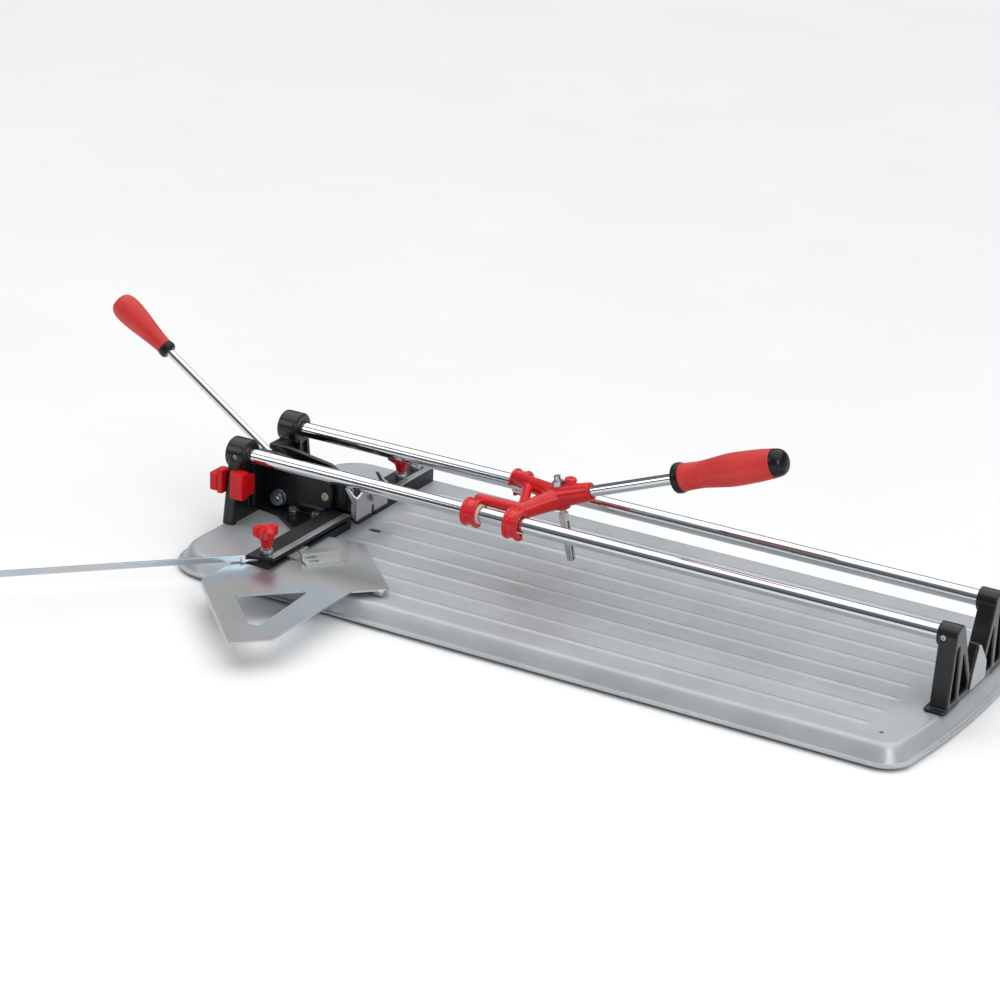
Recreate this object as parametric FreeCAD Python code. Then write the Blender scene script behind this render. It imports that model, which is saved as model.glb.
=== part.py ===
import FreeCAD, Part
import math
import os

V = FreeCAD.Vector

# Manual tile cutter, millimetres. +X runs along the rails away from the fence,
# +Y to the rear, +Z up, Z = 0 is the surface it stands on.
# The origin is under the line the wheel scores, level with the fence face.

BASE_TOP = 25.0
SHEET = 2.2
LIP_LOW = 4.5
BASE_HALF = 195.0
BASE_LEFT = -147.0
BASE_RIGHT = 783.0
BASE_BULGE = 12.0
SKIRT_WIDTH = 15.0
BEAD_PITCH = 35.7
BEAD_START = 25.0
BEAD_END = 722.0
FENCE_TOP = 42.0
FENCE_WIDTH = 33.0
FENCE_HALF = 175.0
FENCE_GAP = 10.5
RAIL_Y = 54.5
RAIL_Z = 105.0
RAIL_R = 9.0
RAIL_START = -137.5
RAIL_END = 771.5
PIVOT = (-35.0, 58.0)
LEVER_ANGLE = 33.6
LEVER_START = (-131.0, 93.3)
LEVER_ROD_R = 5.0
HANDLE_ANGLE = 21.0
HANDLE_START = (310.0, 141.0)
HANDLE_ROD_R = 6.5
RING_X = 189.5
HOOK_X = 244.0
WHEEL = (288.5, 55.0)
WHEEL_R = 4.0
STEM_LEAN = 13.9
KNOB_X = -16.0
FRONT_KNOB_Y = -165.0
REAR_KNOB_Y = 125.0
REAR_NUT_Y = 160.0


def box(x0, x1, y0, y1, z0, z1):
    return Part.makeBox(x1 - x0, y1 - y0, z1 - z0, V(x0, y0, z0))


def rod(a, b, r):
    d = V(*b) - V(*a)
    return Part.makeCylinder(r, d.Length, V(*a), d)


def cone(a, b, r0, r1):
    d = V(*b) - V(*a)
    return Part.makeCone(r0, r1, d.Length, V(*a), d)


def prism(points, plane, low, high):
    """Extrude a polygon given in the xy, xz or yz plane."""
    if plane == "xy":
        wire = [V(p[0], p[1], low) for p in points]
        step = V(0, 0, high - low)
    elif plane == "xz":
        wire = [V(p[0], low, p[1]) for p in points]
        step = V(0, high - low, 0)
    else:
        wire = [V(low, p[0], p[1]) for p in points]
        step = V(high - low, 0, 0)
    return Part.Face(Part.makePolygon(wire + [wire[0]])).extrude(step)


def hexagon(centre, axis, across, height):
    r = across / math.sqrt(3.0)
    ring = [V(r * math.cos(math.pi * k / 3), r * math.sin(math.pi * k / 3), 0) for k in range(6)]
    solid = Part.Face(Part.makePolygon(ring + [ring[0]])).extrude(V(0, 0, height))
    solid.Placement = FreeCAD.Placement(V(*centre), FreeCAD.Rotation(V(0, 0, 1), V(*axis)))
    return solid


def soften(solid, radius, chosen):
    """Round the edges that chosen(edge) picks."""
    edges = [e for e in solid.Edges if chosen(e)]
    return solid.makeFillet(radius, edges)


def upright(edge):
    a = edge.Vertexes[0].Point
    b = edge.Vertexes[-1].Point
    return abs(a.x - b.x) + abs(a.y - b.y) < 1e-6 and abs(a.z - b.z) > 1e-6


def mirror_y(shape):
    return shape.mirror(V(0, 0, 0), V(0, 1, 0))


def along(start, angle, s, y=0.0):
    """Point at distance s from start on a line in the XZ plane."""
    a = math.radians(angle)
    return (start[0] + s * math.cos(a), y, start[1] + s * math.sin(a))


def turned(start, angle, profile):
    """Solid of revolution about the line from start, profile given as (s, r) pairs."""
    points = [V(0, 0, profile[0][0])] + [V(r, 0, s) for s, r in profile] + [V(0, 0, profile[-1][0])]
    lines = [Part.makeLine(points[0], points[1])]
    curve = Part.BSplineCurve()
    curve.interpolate(points[1:-1])
    lines.append(curve.toShape())
    lines.append(Part.makeLine(points[-2], points[-1]))
    lines.append(Part.makeLine(points[-1], points[0]))
    solid = Part.Face(Part.Wire(lines)).revolve(V(0, 0, 0), V(0, 0, 1), 360)
    a = math.radians(angle)
    turn = FreeCAD.Rotation(V(0, 0, 1), V(math.cos(a), 0, math.sin(a)))
    solid.Placement = FreeCAD.Placement(V(start[0], 0, start[1]), turn)
    return solid


# ---------------------------------------------------------------- base

def outline(inset, z):
    """Closed edge of the base, drawn in by inset, at height z."""
    h = BASE_HALF - inset
    left = BASE_LEFT + inset
    right = BASE_RIGHT - inset
    rl = 60.0 - 0.5 * inset
    rr = 34.0 - 0.5 * inset
    k = 1 - math.sqrt(0.5)

    def p(x, y):
        return V(x, y, z)

    edges = [
        Part.makeLine(p(left + rl, -h), p(right - rr, -h)),
        Part.Arc(p(right - rr, -h), p(right - k * rr, -h + k * rr), p(right, -h + rr)).toShape(),
        Part.Arc(p(right, -h + rr), p(right + BASE_BULGE, 0), p(right, h - rr)).toShape(),
        Part.Arc(p(right, h - rr), p(right - k * rr, h - k * rr), p(right - rr, h)).toShape(),
        Part.makeLine(p(right - rr, h), p(left + rl, h)),
        Part.Arc(p(left + rl, h), p(left + k * rl, h - k * rl), p(left, h - rl)).toShape(),
        Part.makeLine(p(left, h - rl), p(left, -h + rl)),
        Part.Arc(p(left, -h + rl), p(left + k * rl, -h + k * rl), p(left + rl, -h)).toShape(),
    ]
    return Part.Wire(edges)


def bead_rows():
    return [k * BEAD_PITCH for k in range(-4, 5)]


def bead(y, drop):
    """Shallow rounded ridge along X, lowered by drop for its underside."""
    rise = 1.6
    start = BEAD_START if y else BEAD_START + 20
    r = (6.0 ** 2 + rise ** 2) / (2 * rise)
    z = BASE_TOP + rise - r - drop
    bar = rod((start, y, z), (BEAD_END, y, z), r)
    return bar.common(box(start, BEAD_END, y - 8, y + 8, BASE_TOP - drop - 0.01, BASE_TOP + 4))


BASE_SCREWS = [(-16.0, 60.0), (-16.0, 110.0), (-124.0, 58.0), (765.0, 62.0)]


def screw_points():
    return [(x, s * y) for x, y in BASE_SCREWS for s in (-1, 1)]


def base_plate():
    outer = Part.makeLoft([outline(4.0, LIP_LOW), outline(SKIRT_WIDTH, BASE_TOP)], True, True)
    outer = soften(outer, 5.0, lambda e: e.BoundBox.ZMin > BASE_TOP - 0.01)
    lip = Part.Face(outline(0.0, LIP_LOW)).extrude(V(0, 0, SHEET))
    inner_low = outline(4.0 + SHEET, LIP_LOW - 0.1)
    inner = Part.makeLoft([inner_low, outline(SKIRT_WIDTH + SHEET, BASE_TOP - SHEET)], True, True)
    plate = outer.fuse(lip)
    for y in bead_rows():
        plate = plate.fuse(bead(y, 0.0))
    plate = plate.cut(inner)
    for y in bead_rows():
        plate = plate.cut(bead(y, SHEET))
    slot = box(22, 30, -4, 4, 20, 30).fuse(rod((22, 0, 20), (22, 0, 30), 4)).fuse(rod((30, 0, 20), (30, 0, 30), 4))
    plate = plate.cut(slot)
    plate = plate.cut(rod((742, -155, 20), (742, -155, 30), 2.5))
    for x, y in screw_points():
        plate = plate.cut(rod((x, y, 20), (x, y, 30), 3.05))
    for x, y in HOUSING_BOLTS:
        plate = plate.cut(rod((x, y, 20), (x, y, 30), 3.05))
    return plate


def base_feet():
    return [cone((x, y, 0), (x, y, BASE_TOP - SHEET), 13.5, 16.0)
            for x in (-92.0, 320.0, 735.0) for y in (-148.0, 148.0)]


def fence_foot_pad():
    return Part.makeCylinder(16.0, BASE_TOP - SHEET)


def base_screws():
    found = []
    for x, y in screw_points():
        head = Part.makeCylinder(5.5, 3.5, V(x, y, BASE_TOP - SHEET - 3.5))
        socket = hexagon((x, y, BASE_TOP - SHEET - 3.6), (0, 0, 1), 4.0, 2.4)
        found.append(head.cut(socket).fuse(Part.makeCylinder(3.0, 13.0, V(x, y, BASE_TOP - SHEET - 0.01))))
    return found


def screw_bores(solid, x_low, x_high):
    """Drill the blind holes that the screws from below enter."""
    for x, y in screw_points():
        if x_low < x < x_high:
            solid = solid.cut(Part.makeCylinder(3.05, 14.0, V(x, y, BASE_TOP - 3)))
    return solid


# ---------------------------------------------------------------- end castings

def end_bracket():
    half = [(0, 25), (-86, 25), (-73.5, 105), (-54.5, 124), (-38.5, 112), (-35, 97), (0, 97)]
    wall = prism(half, "yz", -131, -120)
    edge = prism([(-86, 25), (-78, 25), (-65.5, 105), (-73.5, 105)], "yz", -133, -117)
    edge = soften(edge, 2.5, lambda e: abs(e.BoundBox.ZLength - 80) < 1 and e.CenterOfMass.y < -74)
    boss = rod((-139, -RAIL_Y, RAIL_Z), (-113, -RAIL_Y, RAIL_Z), 19.0)
    boss = soften(boss, 3.0, lambda e: len(e.Vertexes) == 1)
    rib = box(-120, -112, -50, -46, 40, 92)
    side = wall.fuse(edge).fuse(boss).fuse(rib)
    body = side.fuse(mirror_y(side))
    body = body.cut(box(-145, -105, -9, 9, 78, 130)).cut(box(-150, -100, -100, 100, 0, BASE_TOP))
    for y in (-RAIL_Y, RAIL_Y):
        body = body.cut(rod((-138, y, RAIL_Z), (-100, y, RAIL_Z), RAIL_R + 0.02))
        outer_y = y + math.copysign(30.0, y)
        body = body.cut(rod((-125, y, RAIL_Z), (-125, outer_y, RAIL_Z), 3.02))
    body = body.cut(box(-140, -110, -70.2, -60.8, 61.8, 86.2))
    return screw_bores(body, -140, -110)


def rail_set_screws():
    found = []
    for x, reach in ((-125.0, 17.0), (766.0, 12.5)):
        for s in (-1, 1):
            y = s * RAIL_Y
            pin = rod((x, y + s * (RAIL_R + 0.1), RAIL_Z), (x, y + s * reach, RAIL_Z), 3.0)
            found.append(pin.cut(hexagon((x, y + s * (reach - 2.0), RAIL_Z), (0, s, 0), 3.0, 4.0)))
    return found


def far_bracket():
    """Two round-topped posts with a low pointed web between them."""
    post = [(-80, 25), (-77, 33), (-68, RAIL_Z), (-41, RAIL_Z), (-16, 45), (-16, 25)]
    peak = [(-17, 25), (-17, 46), (-2, 78), (2, 78), (17, 46), (17, 25)]
    side = prism(post, "yz", 761.5, 782)
    side = side.fuse(rod((758, -RAIL_Y, RAIL_Z), (782, -RAIL_Y, RAIL_Z), 13.5))
    slot = prism([(-70, 34), (-63, 94), (-56, 97), (-54, 34)], "yz", 772, 790)
    slot = soften(slot, 2.0, lambda e: abs(e.BoundBox.XLength - 18) < 0.1)
    pocket = prism([(-46, 34), (-43, 84), (-23, 42), (-23, 34)], "yz", 772, 790)
    foot = box(757, 783, -84, -42, 25, 29)
    foot = soften(foot, 5.0, upright)
    side = side.cut(slot).cut(pocket).fuse(foot)
    body = side.fuse(mirror_y(side)).fuse(prism(peak, "yz", 771, 782))
    for y in (-RAIL_Y, RAIL_Y):
        outer_y = y + math.copysign(30.0, y)
        body = body.cut(rod((740, y, RAIL_Z), (772, y, RAIL_Z), RAIL_R + 0.02))
        body = body.cut(rod((766, y, RAIL_Z), (766, outer_y, RAIL_Z), 3.02))
    return screw_bores(body, 750, 790)


def end_plate():
    """Blank name plate on the outer face of the web."""
    plate = prism([(-20, 30), (-15, 46), (-1, 76), (3, 76), (24, 50), (24, 30)], "yz", 782.02, 784.0)
    return soften(plate, 3.0, lambda e: abs(e.BoundBox.XLength - 1.98) < 0.01)


def rail(y):
    bar = rod((RAIL_START, y, RAIL_Z), (RAIL_END, y, RAIL_Z), RAIL_R)
    return bar.makeChamfer(1.0, [e for e in bar.Edges if len(e.Vertexes) == 1])


def tower_clip():
    """Clip pushed through the wall and wrapped round the edge of the front tower."""
    through = box(-148, -104, -70, -61, 62, 86)
    outer = soften(box(-150, -139.1, -88, -61, 65, 86), 2.5, upright)
    step = soften(box(-141, -133.1, -86, -74.8, 62, 91), 2.0, upright)
    inner = soften(box(-116.9, -103, -88, -74.8, 60, 93), 2.5, upright)
    bridge = box(-116.9, -104, -76, -61, 62, 86)
    lip = soften(box(-121.5, -106, -88, -82, 60, 93), 2.0, upright)
    return through.fuse([outer, step, inner, bridge, lip])


# ---------------------------------------------------------------- fence

def fence_half(sign):
    if sign > 0:
        bar = box(-FENCE_WIDTH, 0, FENCE_GAP, FENCE_HALF, BASE_TOP, FENCE_TOP)
        bar = soften(bar, 3.0, lambda e: upright(e) and e.CenterOfMass.y < 20)
        bar = bar.cut(Part.makeCylinder(4.02, 20, V(KNOB_X, REAR_KNOB_Y, 30)))
        bar = bar.cut(Part.makeCylinder(4.02, 20, V(KNOB_X, REAR_NUT_Y, 30)))
        return screw_bores(bar, -30, 0)
    plan = [(-FENCE_WIDTH, -FENCE_HALF - 7), (0, -FENCE_HALF - 1), (0, -FENCE_GAP), (-FENCE_WIDTH, -FENCE_GAP)]
    bar = prism(plan, "xy", BASE_TOP, FENCE_TOP)
    bar = soften(bar, 3.0, lambda e: upright(e) and e.CenterOfMass.y > -20)
    bar = bar.cut(box(-4, 1, -FENCE_HALF - 2, -22, 35, 38.5))
    bar = bar.cut(Part.makeCylinder(4.02, 20, V(KNOB_X, FRONT_KNOB_Y, 28)))
    bar = bar.cut(Part.makeCylinder(9.6, 4.0, V(KNOB_X, FRONT_KNOB_Y, 35)))
    bar = bar.cut(box(-FENCE_WIDTH - 1, KNOB_X, -FENCE_HALF - 14, -155.4, 35, 39))
    return screw_bores(bar, -30, 0)


def ruler_strip(sign):
    strip = box(-9, -0.6, -FENCE_HALF + 1, -FENCE_GAP - 3, FENCE_TOP, FENCE_TOP + 1.5)
    strip = strip.makeChamfer(0.6, [e for e in strip.Edges if e.BoundBox.ZMin > 43.4 and e.BoundBox.YLength > 100])
    return mirror_y(strip) if sign > 0 else strip


def clamp_stud(y, low, high):
    stud = Part.makeCylinder(4.0, high - low, V(KNOB_X, y, low))
    return stud.makeChamfer(0.6, [e for e in stud.Edges if e.BoundBox.ZMin > high - 0.01 and len(e.Vertexes) == 1])


def clamp_nut(y):
    nut = hexagon((KNOB_X, y, FENCE_TOP), (0, 0, 1), 13.0, 6.5)
    return nut.cut(Part.makeCylinder(4.02, 10, V(KNOB_X, y, FENCE_TOP - 1)))


def knob(y):
    """Three-winged clamping knob on a round neck."""
    neck = Part.makeCone(6.0, 8.0, 13.0, V(KNOB_X, y, 51.0))
    head = Part.makeCylinder(9.5, 16.0, V(KNOB_X, y, 61.0))
    body = neck.fuse(head)
    for k in range(3):
        wing = box(0, 17.5, -4.5, 4.5, 62.0, 76.5)
        wing = soften(wing, 4.0, lambda e: upright(e) and e.CenterOfMass.x > 1)
        wing.rotate(V(0, 0, 0), V(0, 0, 1), 20 + 120 * k)
        wing.translate(V(KNOB_X, y, 0))
        body = body.fuse(wing)
    return body.cut(Part.makeCylinder(4.05, 15.0, V(KNOB_X, y, 50.0)))


# ---------------------------------------------------------------- breaker

HOUSING_BOLTS = [(x, y) for x in (-75.0, -43.0) for y in (-22.0, 22.0)]


def breaker_housing():
    side = [(-119.8, 25), (-119.8, 97), (-104, 97), (-45, 89), (-29, 80), (-25, 62), (-27, 43.5), (-34, 43.5), (-34, 25)]
    cheek = prism(side, "xz", -15, -8.5)
    cheek = soften(cheek, 3.0, lambda e: e.BoundBox.YLength > 6 and e.CenterOfMass.z > 50 and e.CenterOfMass.x > -110)
    ledge = box(-72, -36, -18, -14.9, 39.2, 42)
    plan = [(-119.8, -26), (-92, -30), (-50, -60), (-34, -60), (-34, 0), (-119.8, 0)]
    foot = prism(plan, "xy", 25, 31)
    half = cheek.fuse(ledge).fuse(foot)
    back = box(-119.8, -110, -15, 15, 25, 66)
    body = half.fuse(mirror_y(half)).fuse(back)
    for x, y in HOUSING_BOLTS:
        body = body.fuse(Part.makeCylinder(7.0, 3.0, V(x, y, 31)))
        body = body.cut(Part.makeCylinder(3.05, 20, V(x, y, 20)))
    body = body.cut(rod((PIVOT[0], -20, PIVOT[1]), (PIVOT[0], 20, PIVOT[1]), 5.02))
    return body.cut(rod((-99, -20, 43), (-99, 20, 43), 4.02))


def housing_bolts():
    found = []
    for x, y in HOUSING_BOLTS:
        head = hexagon((x, y, 34.0), (0, 0, 1), 10.0, 4.5)
        found.append(head.fuse(Part.makeCylinder(3.0, 16.0, V(x, y, 19.0))))
    return found


def pivot_pin():
    pin = rod((PIVOT[0], -16.5, PIVOT[1]), (PIVOT[0], 16.5, PIVOT[1]), 5.0)
    return pin.makeChamfer(0.8, [e for e in pin.Edges if len(e.Vertexes) == 1])


def stop_bolt():
    shank = rod((-99, -24, 43), (-99, 15, 43), 4.0)
    head = hexagon((-99, 15, 43), (0, 1, 0), 17.0, 5.5)
    washer = rod((-99, -16.6, 43), (-99, -15, 43), 10.0).cut(rod((-99, -30, 43), (-99, 20, 43), 4.05))
    nut = hexagon((-99, -16.6, 43), (0, -1, 0), 17.0, 6.0).cut(rod((-99, -30, 43), (-99, 20, 43), 4.05))
    return [shank.fuse(head), washer, nut]


def breaker_arm():
    side = [(-100.6, 82.7), (-109.4, 69.3), (-60, 41), (-42, 40), (-22, 45), (-12, 45), (-12, 74), (-24, 75), (-42, 77), (-66, 76)]
    body = prism(side, "xz", -8, 8)
    body = soften(body, 2.0, lambda e: e.BoundBox.YLength < 0.1 and e.CenterOfMass.z > 60)
    nose = Part.makeCylinder(9.0, 33.0, V(-11, 0, 43))
    nose = soften(nose, 2.0, lambda e: len(e.Vertexes) == 1)
    body = body.fuse(nose)
    body = body.cut(rod((PIVOT[0], -20, PIVOT[1]), (PIVOT[0], 20, PIVOT[1]), 5.08))
    body = body.cut(rod((-12, 0, 68), (5, 0, 68), 4.02))
    angle = 180 - LEVER_ANGLE
    return body.cut(rod(along(LEVER_START, angle, -84), along(LEVER_START, angle, 10), LEVER_ROD_R + 0.02))


def yoke_bolt():
    shank = rod((-11.5, 0, 68), (23, 0, 68), 4.0)
    collar = rod((-1.6, 0, 68), (2.8, 0, 68), 7.0)
    head = hexagon((22.6, 0, 68), (1, 0, 0), 13.0, 4.4)
    return shank.fuse(collar).fuse(head)


def shoe_yoke():
    """Bent sheet that straddles the nose: two wide faces, a bridge and a folded cheek each side."""
    face = [(-34, 47), (-2.5, 47), (-2.5, 57), (2.5, 57), (2.5, 47), (34, 47), (34, 74), (20, 80.5), (-20, 80.5), (-34, 74)]
    front = prism(face, "yz", 19.8, 22.2)
    top = box(3.2, 22.2, -17, 17, 78.1, 80.5)
    back = prism([(-14, 57), (14, 57), (17, 66), (17, 80.5), (-17, 80.5), (-17, 66)], "yz", 3.2, 5.6)
    cheek = [(14, 50), (20, 47), (22.2, 47), (22.2, 74), (16, 77), (9, 84), (5, 84), (14, 70)]
    ear = prism(cheek, "xz", -34, -31.6)
    body = front.fuse(top).fuse(back).fuse(ear).fuse(mirror_y(ear))
    bend = [e for e in body.Edges if upright(e) and e.BoundBox.XMin > 22.1 and abs(e.CenterOfMass.y) > 33.9]
    body = body.makeFillet(2.0, bend)
    return body.cut(rod((0, 0, 68), (30, 0, 68), 4.1))


def shoe_pads():
    pad = box(17.6, 24.4, -34, -3.2, 43, 47)
    pad = soften(pad, 1.2, lambda e: e.BoundBox.YLength > 25 and e.CenterOfMass.z < 44)
    return [pad, mirror_y(pad)]


def lever_rod():
    angle = 180 - LEVER_ANGLE
    return rod(along(LEVER_START, angle, -83.5), along(LEVER_START, angle, 235), LEVER_ROD_R)


def lever_collar():
    solid = turned(LEVER_START, 180 - LEVER_ANGLE, [(166, 9.0), (169, 10.4), (173, 10.6), (176, 10.2)])
    return solid.cut(lever_rod())


def lever_grip():
    profile = [(176, 9.8), (190, 11.0), (206, 13.0), (222, 15.2), (236, 16.3), (246, 16.0), (253, 13.6), (257, 8.5)]
    return turned(LEVER_START, 180 - LEVER_ANGLE, profile).cut(lever_rod())


# ---------------------------------------------------------------- carriage

def ring(x, y, drop, bore):
    """Flanged C-shaped eye round a rail, open on its lower inner side."""
    s = -math.copysign(1.0, y)

    def tube(x0, x1, r):
        solid = rod((x0, y, RAIL_Z), (x1, y, RAIL_Z), r)
        if drop:
            solid = solid.fuse(rod((x0, y, RAIL_Z - drop), (x1, y, RAIL_Z - drop), r))
            solid = solid.fuse(box(x0, x1, y - r, y + r, RAIL_Z - drop, RAIL_Z))
        return solid

    body = tube(x - 9, x + 9, 14.6)
    body = body.fuse(tube(x - 9, x - 5.0, 16.4)).fuse(tube(x + 5.0, x + 9, 16.4))
    body = body.cut(tube(x - 20, x + 20, bore))
    near = y + s * 3.0
    far = y + s * 18.0
    return body.cut(box(x - 20, x + 20, min(near, far), max(near, far), RAIL_Z - drop - 20, RAIL_Z + 1))


def limb(a, b, r0, r1):
    """Tapering round limb with ball ends."""
    return cone(a, b, r0, r1).fuse(Part.makeSphere(r0, V(*a))).fuse(Part.makeSphere(r1, V(*b)))


def carriage_body():
    body = ring(RING_X, -RAIL_Y, 0.0, 12.3)
    body = body.fuse(ring(RING_X, RAIL_Y, 0.0, 12.3))
    body = body.fuse(ring(HOOK_X, -RAIL_Y, 3.0, 10.0))
    link = limb((RING_X, -41.5, 117.5), (HOOK_X, -42, 117.5), 6.0, 7.0)
    web = limb((HOOK_X, -41, 115), (266, -6, 123), 9.5, 12.5)
    arm = limb((RING_X, 41.5, 117.5), (262, 4, 124), 6.5, 12.0)
    brace = limb((212, 31, 119), (HOOK_X, -38, 118), 5.0, 6.5)
    hub = cone(along(HANDLE_START, HANDLE_ANGLE, -52), along(HANDLE_START, HANDLE_ANGLE, 0), 14.0, 10.5)
    tip = Part.makeSphere(14.0, V(*along(HANDLE_START, HANDLE_ANGLE, -52)))
    pad = rod(stem_point(112.0), stem_point(138.0), 9.5)
    lug = Part.makeCylinder(7.5, 30.0, V(280, 5, 119))
    lug = soften(lug, 3.0, lambda e: e.BoundBox.ZMin > 148 and len(e.Vertexes) == 1)
    body = body.fuse([link, web, arm, brace, hub, tip, pad, lug])
    for x, y, r in ((RING_X, -RAIL_Y, 12.3), (RING_X, RAIL_Y, 12.3), (HOOK_X, -RAIL_Y, 10.0)):
        body = body.cut(rod((x - 9.5, y, RAIL_Z), (x + 9.5, y, RAIL_Z), r))
    body = body.cut(rod(along(HANDLE_START, HANDLE_ANGLE, -24), along(HANDLE_START, HANDLE_ANGLE, 5), 6.52))
    body = body.cut(rod(stem_point(138.0), stem_point(165.0), 8.2))
    return body.cut(rod(stem_point(80.0), stem_point(160.0), 4.1)).removeSplitter()


def stem_point(z, y=0.0):
    """Point on the leaning axis of the scoring stem at height z."""
    lean = math.tan(math.radians(STEM_LEAN))
    return (WHEEL[0] - (z - WHEEL[1]) * lean, y, z)


def carriage_glides():
    found = []
    for s in (-1, 1):
        y = s * RAIL_Y
        barrel = turned((RING_X, RAIL_Z), 0.0, [(-10, 11.2), (-5, 11.8), (0, 12.15), (5, 11.8), (10, 11.2)])
        barrel.translate(V(0, y, 0))
        barrel = barrel.cut(rod((RING_X - 12, y, RAIL_Z), (RING_X + 12, y, RAIL_Z), RAIL_R + 0.08))
        near = y - s * 4.0
        far = y - s * 18.0
        found.append(barrel.cut(box(RING_X - 12, RING_X + 12, min(near, far), max(near, far), RAIL_Z - 20, RAIL_Z)))
    return found


def stem_nut():
    low = stem_point(138.0)
    lean = math.radians(STEM_LEAN)
    axis = (-math.sin(lean), 0, math.cos(lean))
    nut = hexagon(low, axis, 13.0, 6.0)
    return nut.cut(rod(stem_point(130.0), stem_point(150.0), 4.1))


def scoring_stem():
    shank = rod(stem_point(100.0), stem_point(150.0), 4.0)
    blade = box(-4.0, 4.0, -4.4, 4.4, 0, 56)
    blade = blade.cut(box(-6, 6, -1.1, 1.1, -1, 12)).cut(box(-6, 6, -2.2, 2.2, 11, 46))
    taper = prism([(-4.1, -1), (-2.8, -1), (-4.1, 26)], "xz", -5, 5)
    blade = blade.cut(taper).cut(taper.mirror(V(0, 0, 0), V(1, 0, 0)))
    blade.Placement = FreeCAD.Placement(V(*stem_point(52.9)), FreeCAD.Rotation(V(0, 1, 0), -STEM_LEAN))
    return blade.fuse(shank).cut(rod((WHEEL[0], -9, WHEEL[1]), (WHEEL[0], 9, WHEEL[1]), 1.27))


def wheel_axle():
    return rod((WHEEL[0], -4.6, WHEEL[1]), (WHEEL[0], 4.6, WHEEL[1]), 1.25)


def scoring_wheel():
    disc = rod((WHEEL[0], -0.8, WHEEL[1]), (WHEEL[0], 0.8, WHEEL[1]), WHEEL_R)
    disc = disc.makeChamfer(0.6, [e for e in disc.Edges if len(e.Vertexes) == 1])
    return disc.cut(rod((WHEEL[0], -2, WHEEL[1]), (WHEEL[0], 2, WHEEL[1]), 1.3))


def handle_rod():
    return rod(along(HANDLE_START, HANDLE_ANGLE, -23.5), along(HANDLE_START, HANDLE_ANGLE, 228), HANDLE_ROD_R)


def handle_collar():
    profile = [(111.5, 15.4), (113.0, 17.1), (117.0, 17.4), (121.0, 16.6)]
    return turned(HANDLE_START, HANDLE_ANGLE, profile).cut(handle_rod())


def handle_grip():
    profile = [(121.0, 16.0), (130, 15.5), (145, 15.3), (162, 16.8), (181, 18.6), (200, 18.5), (219, 17.7), (236, 16.4)]
    return turned(HANDLE_START, HANDLE_ANGLE, profile).cut(handle_rod())


def handle_cap():
    return turned(HANDLE_START, HANDLE_ANGLE, [(236, 16.0), (241, 15.6), (246, 14.0), (249.5, 10.5), (251, 5.0)])


# ---------------------------------------------------------------- square and side arm

SQUARE = [(1.5, -66), (30, -61), (50, -61), (142, -153), (111, -184), (111, -341), (77, -375),
          (-44, -254), (-44, -187), (1.5, -187)]
SQUARE_LOW = 32.0


def square_plate():
    plate = prism(SQUARE, "xy", SQUARE_LOW, SQUARE_LOW + 2)
    window = prism([(12, -268), (72, -208), (79, -320), (66, -322)], "xy", 20, 40)
    window = soften(window, 5.0, upright)
    fold = prism([(-44, -254), (77, -375), (78.4, -373.6), (-42.6, -252.6)], "xy", SQUARE_LOW - 6, SQUARE_LOW + 1)
    plate = soften(plate, 4.0, lambda e: upright(e) and e.CenterOfMass.x > 60)
    return plate.cut(window).fuse(fold)


def square_bracket():
    """Tongue in the fence groove, and a stepped channel set askew on the sheet."""
    z = SQUARE_LOW + 2
    tongue = box(-3.6, 6, -148, -112, z + 1.3, z + 3.7)
    step = box(2, 6, -148, -112, z, z + 3.7)
    leg = box(6, 24, -146, -118, z, z + 2.2)
    low = box(-23, 23, -13, 1, z, z + 2.2)
    low = low.cut(rod((-14, -6, z - 1), (-14, -6, z + 5), 3.0)).cut(rod((-8, -6, z - 1), (-8, -6, z + 5), 3.0))
    low = low.cut(box(-14, -8, -9, -3, z - 1, z + 5))
    web = box(-23, 23, 0, 2.2, z, z + 9)
    high = box(-23, 23, 0, 13, z + 6.8, z + 9)
    cheek = box(20.8, 23, 0, 13, z + 1.0, z + 9)
    channel = low.fuse([web, high, cheek])
    channel.rotate(V(0, 0, 0), V(0, 0, 1), 53)
    channel.translate(V(34, -128, 0))
    return tongue.fuse([step, leg, channel])


def square_foot():
    post = box(126, 138, -163, -155, BASE_TOP + 1.7, SQUARE_LOW)
    return soften(post, 1.5, upright)


def side_arm():
    eye = Part.makeCylinder(9.0, 3.0, V(0, 0, 35.5))
    neck = box(-30, 0, -5, 5, 35.5, 38.5)
    bar = box(-322, -25, -1.5, 1.5, 35.5, 42.5)
    bar = soften(bar, 1.2, lambda e: upright(e) and e.CenterOfMass.x < -300)
    arm = eye.fuse(neck).fuse(bar).cut(Part.makeCylinder(4.1, 10, V(0, 0, 32)))
    arm.rotate(V(0, 0, 0), V(0, 0, 1), 45)
    arm.translate(V(KNOB_X, FRONT_KNOB_Y, 0))
    return arm


def save(name, shape):
    if isinstance(shape, list):
        shape = Part.makeCompound(shape)
    if not shape.isValid():
        print("not valid:", name)
    box_ = shape.BoundBox
    print(f"{name:18s} solids {len(shape.Solids)}  x {box_.XMin:8.1f} {box_.XMax:8.1f}"
          f"  y {box_.YMin:8.1f} {box_.YMax:8.1f}  z {box_.ZMin:7.1f} {box_.ZMax:7.1f}")
    shape.exportStep("parts/" + name + ".step")


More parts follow.
